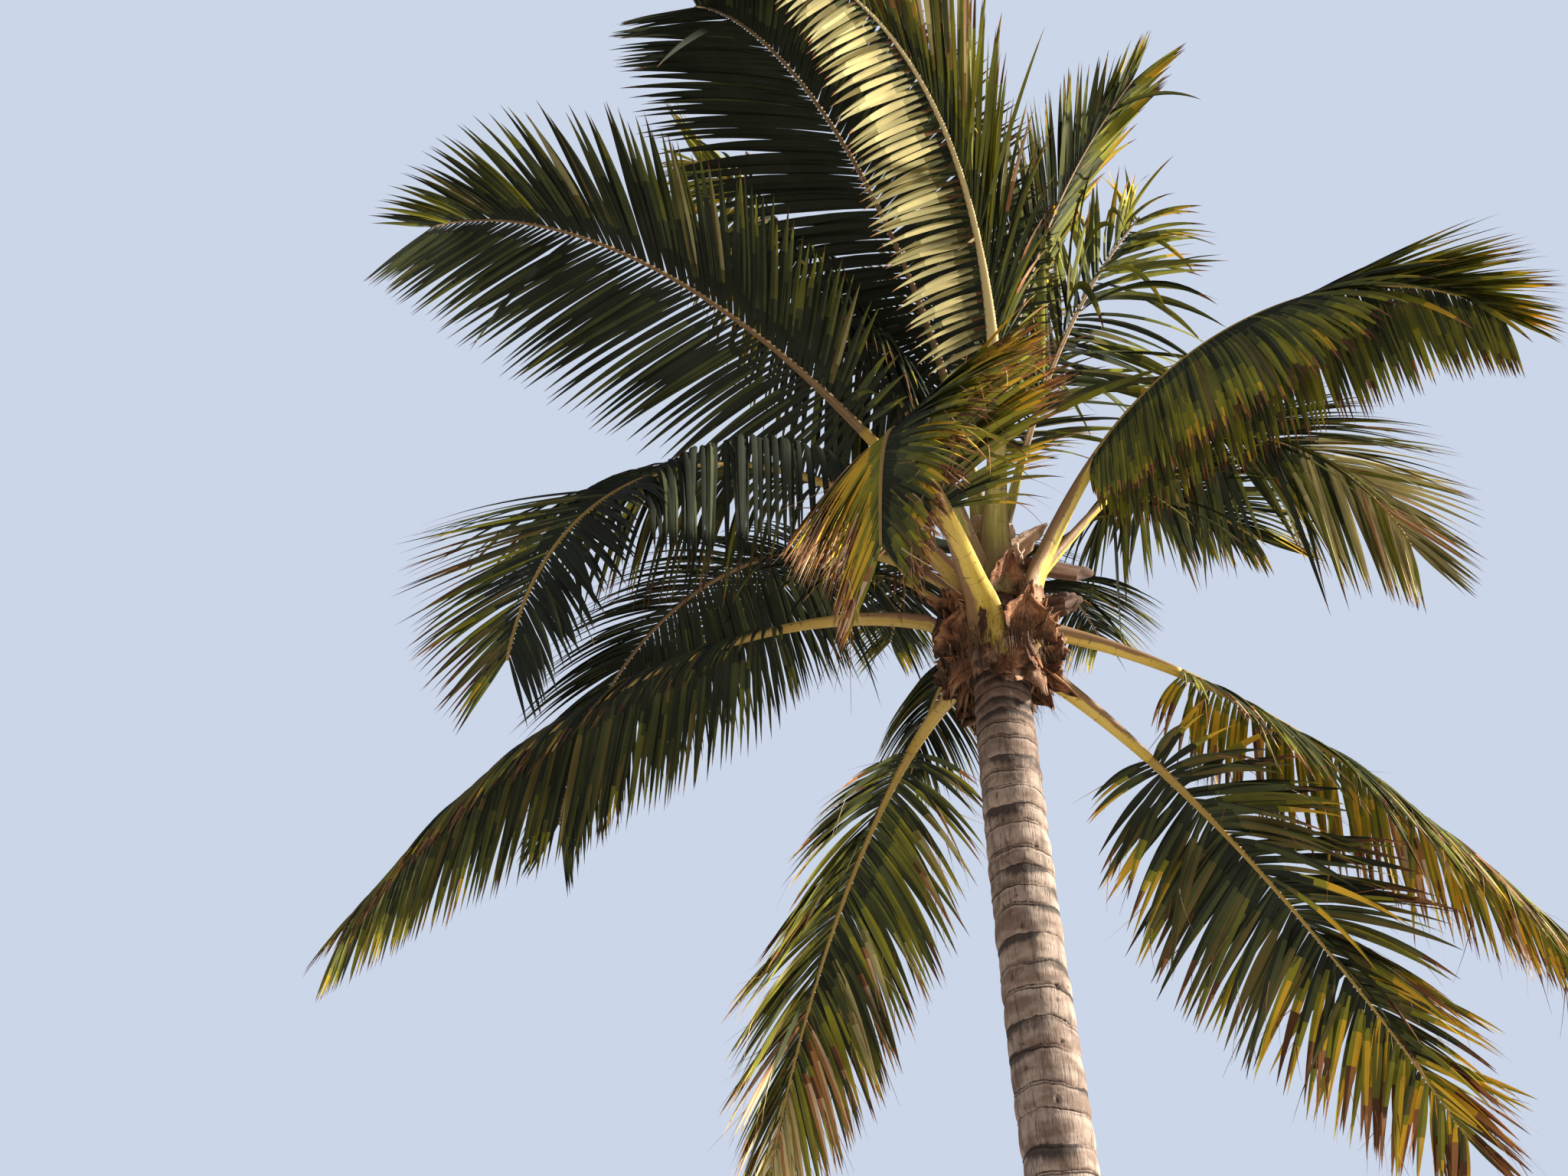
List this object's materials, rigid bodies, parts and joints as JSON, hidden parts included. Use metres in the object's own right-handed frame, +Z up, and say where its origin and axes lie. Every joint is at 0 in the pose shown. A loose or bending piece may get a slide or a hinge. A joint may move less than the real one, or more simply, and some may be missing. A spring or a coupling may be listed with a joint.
{
  "type": "coconut palm tree",
  "caption": "Whole coconut palm with a leaning ringed trunk, a fibrous heart and a full crown of arching feather fronds.",
  "frame": {"origin": "middle of the flat cut under the trunk, at ground level", "axes": "+Z up; -Y is the side of the tree that faces the picture's camera, +X is to the right in the picture"},
  "size_m": [6.618, 7.1522, 12.0856],
  "materials": {
    "bark": "rough grey-tan palm bark with rings",
    "fibre": "torn brown woven fibre",
    "frond": "leathery green leaflets, slightly glossy",
    "stalk": "smooth yellow-green leaf stalk",
    "wood": "dry brown cut stalk"
  },
  "bodies": {
    "root": {"trunk": "bark", "heart": "fibre", "cut_petiole": "stalk", "cut_stalk": "wood", "dry_base": "wood", "frond_left_high_inner": "frond", "frond_left_high_outer": "frond", "frond_left_arch_inner": "frond", "frond_left_arch_outer": "frond", "frond_left_low_inner": "frond", "frond_left_low_outer": "frond", "frond_left_back_inner": "frond", "frond_left_back_outer": "frond", "frond_back_left_low_inner": "frond", "frond_back_left_low_outer": "frond", "frond_back_low": "frond", "frond_right_lowest": "frond", "frond_right_low_inner": "frond", "frond_right_low_outer": "frond", "frond_right_high_inner": "frond", "frond_right_high_outer": "frond", "frond_right_arch_inner": "frond", "frond_right_arch_outer": "frond", "frond_right_back_inner": "frond", "frond_right_back_outer": "frond", "frond_back_right_inner": "frond", "frond_back_right_outer": "frond", "frond_back_middle_inner": "frond", "frond_back_middle_outer": "frond", "frond_back_left_inner": "frond", "frond_back_left_outer": "frond", "frond_front_low_inner": "frond", "frond_front_low_outer": "frond", "frond_top_bright_inner": "frond", "frond_top_bright_outer": "frond", "frond_top_dark_inner": "frond", "frond_top_dark_outer": "frond", "frond_top_left": "frond", "frond_top_young": "frond", "frond_top_back": "frond", "frond_top_right": "frond"}
  },
  "joints": []
}
